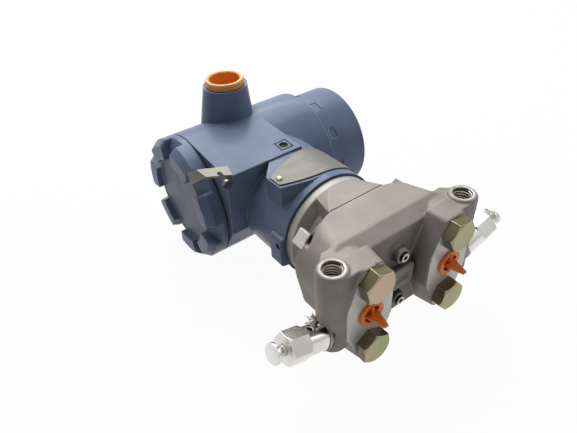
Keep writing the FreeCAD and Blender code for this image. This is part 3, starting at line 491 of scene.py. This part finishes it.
def pressed_rings():
    made, tree, shader = new_material("pressed diaphragm", metallic=1.0, roughness=0.24)
    low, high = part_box("isolating_diaphragms")
    middle = (low + high) / 2
    span = (high - low).z / 2
    across = arithmetic(tree, "SUBTRACT", magnitude(tree, coordinate(tree, "X")), high.x - span)
    up = arithmetic(tree, "SUBTRACT", coordinate(tree, "Z"), middle.z)
    radius = hypotenuse(tree, across, up)
    rings = arithmetic(tree, "SINE", arithmetic(tree, "MULTIPLY", radius, math.tau / RING_PITCH))
    edges = place_group(tree, SOFTENED_EDGES)
    cloud = remap(tree, noise(tree, 90.0), 0.3, 0.7)
    colour = blend_colour(tree, cloud, (0.66, 0.65, 0.62), (0.55, 0.54, 0.51))
    feed(tree, shader.inputs["Base Color"], colour)
    feed(tree, shader.inputs["Normal"], relief(tree, rings, 0.8, 0.0004, edges["Normal"]))
    return made


def moulded(name, first, second, roughness, coat=0.0, subsurface=0.0, specular=0.5):
    """Moulded rubber or plastic with a slight skin, cloudy colour and painted shade in its recesses."""
    made, tree, shader = new_material(name, coat=coat)
    shader.inputs["Subsurface Weight"].default_value = subsurface
    shader.inputs["Subsurface Radius"].default_value = (1.0, 0.4, 0.15)
    shader.inputs["Subsurface Scale"].default_value = 0.0015
    shader.inputs["Specular IOR Level"].default_value = specular
    skin = place_group(tree, SKIN, Grain_Size=1500.0)
    edges = place_group(tree, SOFTENED_EDGES, Radius=0.0003, Shelter=0.004)
    colour = blend_colour(tree, skin["Mottle"], first, second)
    # Painted shade in the recesses.
    dark = tuple(part * 0.35 for part in second)
    colour = tinted(tree, colour, dark, edges["Recess Shade"], 0.5)
    feed(tree, shader.inputs["Base Color"], colour)
    satin = remap(tree, skin["Mottle"], 0.0, 1.0, roughness - 0.05, roughness + 0.07)
    feed(tree, shader.inputs["Roughness"], satin)
    feed(tree, shader.inputs["Normal"], relief(tree, skin["Height"], 0.25, 0.00005, edges["Normal"]))
    return made


finish_with(pressed_rings(), "isolating_diaphragms")
finish_with(moulded("glass-filled seal", (0.72, 0.70, 0.64), (0.60, 0.58, 0.52), roughness=0.55),
            "diaphragm_seals")


# ---- Port plugs -----------------------------------------------------------------------
# Shipping plugs pushed into the two pressure ports, each moulded in soft orange-red
# polythene as a rimmed cup with crossed webs in it and a winged pull tab.
finish_with(moulded("orange-red polythene", (1.00, 0.270, 0.040), (0.92, 0.205, 0.028), roughness=0.40,
                    subsurface=0.35, specular=0.3), "port_plug_right", "port_plug_left")


# ---- Drain valves ---------------------------------------------------------------------
# Bar-turned stainless: a hexagon body screwed into the flange's side, a ball on its seat
# and a headed stem that presses it down. Turning marks run round the valve's own axis.
VALVE_AXIS = Vector(joints["drain_travel_right"]["axis"])


def turned_stainless():
    made, tree, shader = new_material("turned stainless", metallic=1.0)
    outward = magnitude(tree, coordinate(tree, "X"))
    along = arithmetic(tree, "ADD", arithmetic(tree, "MULTIPLY", outward, VALVE_AXIS.x),
                       arithmetic(tree, "MULTIPLY", coordinate(tree, "Y"), VALVE_AXIS.y))
    marks = tree.nodes.new("ShaderNodeTexNoise")
    marks.noise_dimensions = "1D"
    marks.inputs["Scale"].default_value = 5200.0
    tree.links.new(along, marks.inputs["W"])
    skin = place_group(tree, SKIN, Grain_Size=2600.0)
    edges = place_group(tree, SOFTENED_EDGES, Radius=0.0003, Shelter=0.004)
    colour = blend_colour(tree, skin["Mottle"], (0.82, 0.81, 0.775), (0.66, 0.65, 0.61))
    # Painted shade in the recesses.
    colour = tinted(tree, colour, (0.16, 0.15, 0.13), edges["Recess Shade"], 0.6)
    feed(tree, shader.inputs["Base Color"], colour)
    feed(tree, shader.inputs["Roughness"], remap(tree, marks.outputs["Fac"], 0.3, 0.7, 0.16, 0.30))
    feed(tree, shader.inputs["Normal"], relief(tree, marks.outputs["Fac"], 0.35, 0.00003, edges["Normal"]))
    return made


finish_with(turned_stainless(), *("drain_" + part + side for side in ("_right", "_left")
                                  for part in ("valve_body", "ball", "stem")))


# ---- Thread sealing tape --------------------------------------------------------------
# Thin white tape wound on the valves' threads before they were screwed in. It stands up
# round each joint in a crumpled collar, and shreds have torn loose, more on the left.
def sealing_tape():
    made, tree, shader = new_material("thread sealing tape", roughness=0.5)
    shader.inputs["Subsurface Weight"].default_value = 0.2
    shader.inputs["Subsurface Scale"].default_value = 0.001
    folds = noise(tree, 700.0, 4.0, stretch=(1, 0.35, 0.35))
    edges = place_group(tree, SOFTENED_EDGES, Radius=0.0002, Shelter=0.002)
    colour = blend_colour(tree, remap(tree, folds, 0.35, 0.65), (0.86, 0.85, 0.80), (0.66, 0.64, 0.57))
    feed(tree, shader.inputs["Base Color"], colour)
    feed(tree, shader.inputs["Normal"], relief(tree, folds, 0.8, 0.0002, edges["Normal"]))
    return made


tape_finish = sealing_tape()
finish_with(tape_finish, "thread_sealing_tape")
VALVE_SEAT = Vector(joints["drain_turn_right"]["pos_m"])
TAPE_THICKNESS = 0.00012
COLLAR_RADIUS = 0.0070
COLLAR_BANDS = 4
COLLAR_BAND = 0.0006            # height of one band
SHRED_ROOT = 0.0066             # from the valve's axis
rng = random.Random(5)


def valve_joint(side):
    """Axis of a drain valve, out of the flange, and the middle of its joint; side is 1 or -1."""
    axis = Vector((side * VALVE_AXIS.x, VALVE_AXIS.y, 0))
    return axis, Vector((side * VALVE_SEAT.x, VALVE_SEAT.y, VALVE_SEAT.z))


def crumpled_collar(side):
    """Band of tape standing round the joint, with an uneven, folded rim."""
    axis, seat = valve_joint(side)
    turn = Vector((0, 0, 1)).rotation_difference(axis).to_matrix()
    shape = bmesh.new()
    bmesh.ops.create_circle(shape, segments=72, radius=COLLAR_RADIUS)
    for band in range(COLLAR_BANDS):
        at_least = band * COLLAR_BAND - 0.0001
        rim = [edge for edge in shape.edges if edge.is_boundary or edge.is_wire]
        rim = [edge for edge in rim if all(vert.co.z > at_least for vert in edge.verts)]
        grown = bmesh.ops.extrude_edge_only(shape, edges=rim)["geom"]
        raised = [part for part in grown if isinstance(part, bmesh.types.BMVert)]
        bmesh.ops.translate(shape, verts=raised, vec=(0, 0, COLLAR_BAND))
    for vert in shape.verts:
        flare = 1 + vert.co.z * 25 + rng.uniform(-0.025, 0.035)
        vert.co.xy = vert.co.xy * flare
        vert.co.z += rng.uniform(-0.0002, 0.0002)
    bmesh.ops.solidify(shape, geom=shape.faces, thickness=TAPE_THICKNESS)
    bmesh.ops.rotate(shape, verts=shape.verts, matrix=turn)
    bmesh.ops.translate(shape, verts=shape.verts, vec=seat - axis * 0.0004)
    return shape


def torn_shreds(side, count, spread):
    """Short curled ribbons that stand off the collar towards the front."""
    axis, seat = valve_joint(side)
    shape = bmesh.new()
    for shred in range(count):
        around = Matrix.Rotation(side * rng.uniform(-spread, spread), 3, axis)
        outward = around @ Vector((0.05 * side, -0.86, 0.5)).normalized()
        length, width = rng.uniform(0.0025, 0.0060), rng.uniform(0.0012, 0.0030)
        ribbon = bmesh.ops.create_grid(shape, x_segments=2, y_segments=9, size=0.5)["verts"]
        bend, twist = rng.uniform(-1.2, 1.2), rng.uniform(-1.5, 1.5)
        across = outward.cross(axis).normalized()
        start = seat + outward * SHRED_ROOT + axis * rng.uniform(-0.0004, 0.0012)
        for vert in ribbon:
            along = vert.co.y + 0.5
            narrow = width * (1 - 0.4 * along) * vert.co.x
            lean = Matrix.Rotation(bend * along, 3, across) @ outward
            edge = Matrix.Rotation(twist * along + shred, 3, lean) @ across
            vert.co = start + lean * (length * along) + edge * narrow
    bmesh.ops.solidify(shape, geom=shape.faces, thickness=TAPE_THICKNESS)
    return shape


for side, name, count in ((1, "right", 5), (-1, "left", 16)):
    collar = new_piece("tape_collar_" + name, crumpled_collar(side), tape_finish, "process_flange")
    shreds = torn_shreds(side, count, spread=0.7)
    new_piece("tape_shreds_" + name, shreds, tape_finish, "process_flange")


# ---- Sensor module --------------------------------------------------------------------
# A stainless casting with a machined parting ring, bolted to the flange. A black ring
# seals the neck where the electronics housing turns on it.
def module_machining(tree):
    """1 on the band of the parting ring under the housing."""
    neck_low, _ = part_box("neck_seal")
    band = remap(tree, coordinate(tree, "Z"), neck_low.z - 0.0050, neck_low.z - 0.0046)
    return arithmetic(tree, "MULTIPLY", band, 0.35)


finish_with(cast_stainless(module_machining), "sensor_module")
rubber = moulded("black rubber", (0.016, 0.016, 0.018), (0.030, 0.030, 0.032), roughness=0.55)
finish_with(rubber, "neck_seal")


# ---- Electronics housing --------------------------------------------------------------
# Die-cast aluminium in one piece: barrel, neck, leaning front, conduit boss and lock lug,
# under a blue-grey gloss polyurethane with a slight orange peel.
PAINT = (0.143, 0.190, 0.292)
PAINT_DEEP = (0.118, 0.158, 0.247)
# Painted shade for the recesses
PAINT_SHADE = (0.030, 0.036, 0.050)
# Painted highlight for the edges
PAINT_EDGE_HIGHLIGHT = (0.40, 0.45, 0.56)
PAINT_SPECK = (0.30, 0.32, 0.38)


def gloss_paint():
    made, tree, shader = new_material("blue-grey gloss paint", coat=0.07)
    shader.inputs["Specular IOR Level"].default_value = 0.10
    skin = place_group(tree, SKIN, Grain_Size=1100.0)
    edges = place_group(tree, SOFTENED_EDGES, Radius=0.0011, Shelter=0.008)
    colour = blend_colour(tree, skin["Mottle"], PAINT, PAINT_DEEP)
    # Painted shade in the recesses.
    colour = tinted(tree, colour, PAINT_SHADE, edges["Recess Shade"], 0.70)
    # Painted highlight along the edges, stronger in patches.
    edge_highlight_share = remap(tree, noise(tree, 150.0), 0.35, 0.7, 0.25, 0.75)
    colour = tinted(tree, colour, PAINT_EDGE_HIGHLIGHT, edges["Edge"], edge_highlight_share)
    colour = tinted(tree, colour, PAINT_SPECK, skin["Specks"], 0.35)
    feed(tree, shader.inputs["Base Color"], colour)
    feed(tree, shader.inputs["Roughness"], remap(tree, skin["Mottle"], 0.0, 1.0, 0.30, 0.40))
    peel = noise(tree, 520.0, 2.0)
    feed(tree, shader.inputs["Normal"], relief(tree, peel, 0.22, 0.00012, edges["Normal"]))
    return made


housing_paint = gloss_paint()
finish_with(housing_paint, "electronics_housing", "terminal_cover", "display_cover")
finish_with(rubber, "terminal_cover_seal", "display_cover_seal", "glass_seal")


# The headless screw that stops the head from turning is plain stainless with a hex socket.
def bright_stainless(name, first, second, stretch=(1, 1, 1), metallic=0.9, roughness=0.28):
    """Drawn or ground stainless, with its grain drawn out where stretch is under 1."""
    made, tree, shader = new_material(name, metallic=metallic)
    streaks = noise(tree, 900.0, 5.0, stretch=stretch)
    edges = place_group(tree, SOFTENED_EDGES, Radius=0.0003, Shelter=0.003)
    colour = blend_colour(tree, remap(tree, streaks, 0.3, 0.7), first, second)
    shade = tuple(part * 0.3 for part in second)
    colour = tinted(tree, colour, shade, edges["Recess Shade"], 0.7)
    feed(tree, shader.inputs["Base Color"], colour)
    feed(tree, shader.inputs["Roughness"], remap(tree, streaks, 0.3, 0.7, roughness, roughness + 0.14))
    feed(tree, shader.inputs["Normal"], relief(tree, streaks, 0.3, 0.00003, edges["Normal"]))
    return made


finish_with(bright_stainless("set screw steel", (0.40, 0.39, 0.37), (0.28, 0.27, 0.26)),
            "rotation_set_screw")


# ---- Nameplate ------------------------------------------------------------------------
# A bare stainless sheet, flat on one side and rolled round the neck, brushed along its
# length and held by two drive screws with a brassy passivation.
finish_with(bright_stainless("brushed plate", (0.180, 0.171, 0.152), (0.130, 0.124, 0.107),
                             stretch=(0.06, 2.5, 2.5), metallic=0.35, roughness=0.48),
            "nameplate")
finish_with(bright_stainless("passivated screws", (0.50, 0.45, 0.33), (0.36, 0.31, 0.20)),
            "nameplate_screws")


# ---- Conduit plug and ground hole plug ------------------------------------------------
# Orange polythene cup pushed into the conduit entry for shipping, and a small dark plug
# in the grounding screw's hole.
finish_with(moulded("orange polythene", (0.82, 0.340, 0.075), (0.76, 0.290, 0.055), roughness=0.38,
                    coat=0.1, subsurface=0.1), "conduit_plug")
finish_with(moulded("dark plastic", (0.014, 0.015, 0.017), (0.022, 0.023, 0.025), roughness=0.6,
                    specular=0.12), "ground_hole_plug", "terminal_block", "display_module")


# ---- Terminal cover's label -----------------------------------------------------------
# A bare grey polyester disc stuck in the cover's recess, with faint handling scratches.
def satin_label():
    made, tree, shader = new_material("grey label")
    shader.inputs["Specular IOR Level"].default_value = 0.2
    cloud = remap(tree, noise(tree, 30.0, 3.0), 0.35, 0.65)
    scratches = remap(tree, noise(tree, 420.0, 2.0, stretch=(1, 0.06, 1)), 0.60, 0.68)
    edges = place_group(tree, SOFTENED_EDGES, Radius=0.0002, Shelter=0.004)
    colour = blend_colour(tree, cloud, (0.135, 0.158, 0.205), (0.112, 0.132, 0.175))
    colour = tinted(tree, colour, (0.34, 0.35, 0.37), scratches, 0.25)
    feed(tree, shader.inputs["Base Color"], colour)
    feed(tree, shader.inputs["Roughness"], remap(tree, scratches, 0.0, 1.0, 0.42, 0.6))
    feed(tree, shader.inputs["Normal"], relief(tree, noise(tree, 1500.0), 0.1, 0.00003, edges["Normal"]))
    return made


finish_with(satin_label(), "terminal_cover_label")


# ---- Cover clamp ----------------------------------------------------------------------
# A bent steel strap, yellow passivated to a pale straw, that hooks over the cover's rim
# and keeps it from being unscrewed.
# The strap's edges carry the same painted highlight as the bolts.
finish_with(yellow_zinc("straw zinc strap", ends=((0.16, 0.14, 0.085), (0.11, 0.095, 0.06)),
                        sides=((0.150, 0.150, 0.142), (0.115, 0.114, 0.105)), drift=60.0,
                        metallic=0.35, roughness=0.42), "cover_clamp")
finish_with(bright_stainless("clamp screw steel", (0.20, 0.19, 0.17), (0.11, 0.105, 0.09)),
            "clamp_screw")


# ---- Window of the display cover ------------------------------------------------------
# Thick toughened glass, held against its gasket by a black anodised threaded ring.
def clear_glass():
    made, tree, shader = new_material("toughened glass", roughness=0.0)
    shader.inputs["Transmission Weight"].default_value = 1.0
    shader.inputs["IOR"].default_value = 1.5
    edges = place_group(tree, SOFTENED_EDGES, Radius=0.0003)
    feed(tree, shader.inputs["Base Color"],
         blend_colour(tree, edges["Edge"], (0.93, 0.97, 0.96), (0.55, 0.72, 0.68)))
    waves = noise(tree, 60.0, 1.0)
    feed(tree, shader.inputs["Normal"], relief(tree, waves, 0.05, 0.00002, edges["Normal"]))
    return made


finish_with(clear_glass(), "display_glass")
finish_with(moulded("black anodising", (0.030, 0.030, 0.033), (0.045, 0.045, 0.048), roughness=0.35,
                    coat=0.2), "glass_retaining_ring")


# ---- Electronics and terminals --------------------------------------------------------
# A green board on brass standoffs behind the display, and a black terminal block with
# brass screws behind the other cover.
def green_board():
    made, tree, shader = new_material("green board", coat=0.3, roughness=0.4)
    tracks = tree.nodes.new("ShaderNodeTexVoronoi")
    tracks.distance = "CHEBYCHEV"
    tracks.inputs["Scale"].default_value = 340.0
    tree.links.new(object_place(tree), tracks.inputs["Vector"])
    copper = remap(tree, tracks.outputs["Distance"], 0.42, 0.46)
    colour = blend_colour(tree, copper, (0.012, 0.10, 0.045), (0.05, 0.20, 0.09))
    feed(tree, shader.inputs["Base Color"], colour)
    return made


finish_with(green_board(), "electronics_board")
brass = bright_stainless("brass", (0.62, 0.46, 0.19), (0.48, 0.34, 0.12))
finish_with(brass, "terminal_screws", "board_standoffs")


def display_front():
    """Grey-green reflective liquid crystal panel with its faint cell grid and no reading on it."""
    made, tree, shader = new_material("display front", coat=0.8, roughness=0.35)
    cells = tree.nodes.new("ShaderNodeTexBrick")
    cells.offset = 0.0
    cells.inputs["Scale"].default_value = 260.0
    cells.inputs["Mortar Size"].default_value = 0.03
    turn = tree.nodes.new("ShaderNodeMapping")
    turn.inputs["Rotation"].default_value = (0.0, math.radians(90), math.radians(90))
    tree.links.new(object_place(tree), turn.inputs["Vector"])
    tree.links.new(turn.outputs["Vector"], cells.inputs["Vector"])
    cloud = remap(tree, noise(tree, 60.0), 0.3, 0.7)
    shade = blend_colour(tree, cloud, (0.26, 0.30, 0.23), (0.31, 0.35, 0.27))
    colour = blend_colour(tree, cells.outputs["Fac"], shade, (0.19, 0.22, 0.17))
    feed(tree, shader.inputs["Base Color"], colour)
    return made


finish_with(display_front(), "display_panel")


# ---- Table, light and camera ----------------------------------------------------------
# The transmitter lies on its back on a pale table under soft light from above, as it would
# be set down before mounting. From behind, the table lets the view through.
TABLE_GREY = (0.60, 0.60, 0.60)
TABLE_GLOW = 0.96               # share of plain white where the eye, a mirror or glass sees it
TABLE_GAP = 0.0005              # behind the transmitter's back
TABLE_REACHES = 60              # half its side, in diagonals of the transmitter
SKY_AXIS = (0.2, -0.85, 0.49)   # towards the bright side of the studio
SKY_LEVEL = 0.13


def pale_table():
    made = bpy.data.materials.new("pale table")
    made.use_nodes = True
    tree = made.node_tree
    tree.nodes.clear()
    out = tree.nodes.new("ShaderNodeOutputMaterial")
    diffuse = tree.nodes.new("ShaderNodeBsdfDiffuse")
    feed(tree, diffuse.inputs["Color"], TABLE_GREY)
    glow = tree.nodes.new("ShaderNodeEmission")
    glow.inputs["Color"].default_value = (1, 1, 1, 1)
    path = tree.nodes.new("ShaderNodeLightPath")
    seen = arithmetic(tree, "MAXIMUM", path.outputs["Is Camera Ray"], path.outputs["Is Glossy Ray"])
    seen = arithmetic(tree, "MAXIMUM", seen, path.outputs["Is Transmission Ray"])
    lit = tree.nodes.new("ShaderNodeMixShader")
    tree.links.new(arithmetic(tree, "MULTIPLY", seen, TABLE_GLOW), lit.inputs["Fac"])
    tree.links.new(diffuse.outputs["BSDF"], lit.inputs[1])
    tree.links.new(glow.outputs["Emission"], lit.inputs[2])
    through = tree.nodes.new("ShaderNodeBsdfTransparent")
    sided = tree.nodes.new("ShaderNodeMixShader")
    tree.links.new(tree.nodes.new("ShaderNodeNewGeometry").outputs["Backfacing"], sided.inputs["Fac"])
    tree.links.new(lit.outputs["Shader"], sided.inputs[1])
    tree.links.new(through.outputs["BSDF"], sided.inputs[2])
    tree.links.new(sided.outputs["Shader"], out.inputs["Surface"])
    return made


centre = (cad_low + cad_high) / 2
reach = (cad_high - cad_low).length
table_shape = bmesh.new()
bmesh.ops.create_grid(table_shape, x_segments=1, y_segments=1, size=reach * TABLE_REACHES)
bmesh.ops.rotate(table_shape, verts=table_shape.verts, matrix=Matrix.Rotation(math.radians(90), 3, "X"))
bmesh.ops.translate(table_shape, verts=table_shape.verts, vec=(centre.x, cad_high.y + TABLE_GAP, centre.z))
table_mesh = bpy.data.meshes.new("table")
table_shape.to_mesh(table_mesh)
table_shape.free()
table = bpy.data.objects.new("table", table_mesh)
table_mesh.materials.append(pale_table())
bpy.context.scene.collection.objects.link(table)


def soft_light(name, direction, distance, size, power):
    """Square area lamp that faces the transmitter from a direction."""
    lamp = bpy.data.lights.new(name, "AREA")
    lamp.size = size
    lamp.energy = power
    obj = bpy.data.objects.new(name, lamp)
    obj.location = centre + Vector(direction).normalized() * distance
    obj.rotation_euler = (centre - obj.location).to_track_quat("-Z", "Y").to_euler()
    bpy.context.scene.collection.objects.link(obj)


soft_light("key", (0.25, -1.0, 0.75), distance=0.9, size=0.8, power=12.5)
soft_light("fill", (-0.8, -0.3, -0.6), distance=1.1, size=0.9, power=0.7)
soft_light("side", (0.9, -0.45, -0.35), distance=1.0, size=0.7, power=2.2)

world = bpy.data.worlds.new("studio")
bpy.context.scene.world = world
world.use_nodes = True
sky = world.node_tree
background = sky.nodes["Background"]
path = sky.nodes.new("ShaderNodeLightPath")
seen = arithmetic(sky, "MAXIMUM", path.outputs["Is Camera Ray"], path.outputs["Is Transmission Ray"])
feed(sky, background.inputs["Color"], (1.0, 1.0, 1.0))
towards = sky.nodes.new("ShaderNodeTexCoord").outputs["Generated"]
reflected = remap(sky, dot_product(sky, towards, SKY_AXIS), -0.7, 0.6, 0.35, 1.0)
glossy = arithmetic(sky, "MULTIPLY", path.outputs["Is Glossy Ray"], reflected)
lit = arithmetic(sky, "MAXIMUM", SKY_LEVEL, glossy)
feed(sky, background.inputs["Strength"], arithmetic(sky, "MAXIMUM", seen, lit))

camera = bpy.data.cameras.new("camera")
camera.lens = 32.9
camera.sensor_width = 36.0
camera.clip_start = 0.01
camera.clip_end = 20.0
eye = bpy.data.objects.new("camera", camera)
right = Vector((0.80224, 0.05010, -0.59490))
up = Vector((0.40071, -0.78385, 0.47436))
back = Vector((-0.44255, -0.61893, -0.64890))
stand = Matrix.Translation((-0.1484, -0.1579, -0.1246))
eye.matrix_world = stand @ Matrix((right, up, back)).transposed().to_4x4()
bpy.context.scene.collection.objects.link(eye)
bpy.context.scene.camera = eye
bpy.context.scene.view_settings.view_transform = "Standard"
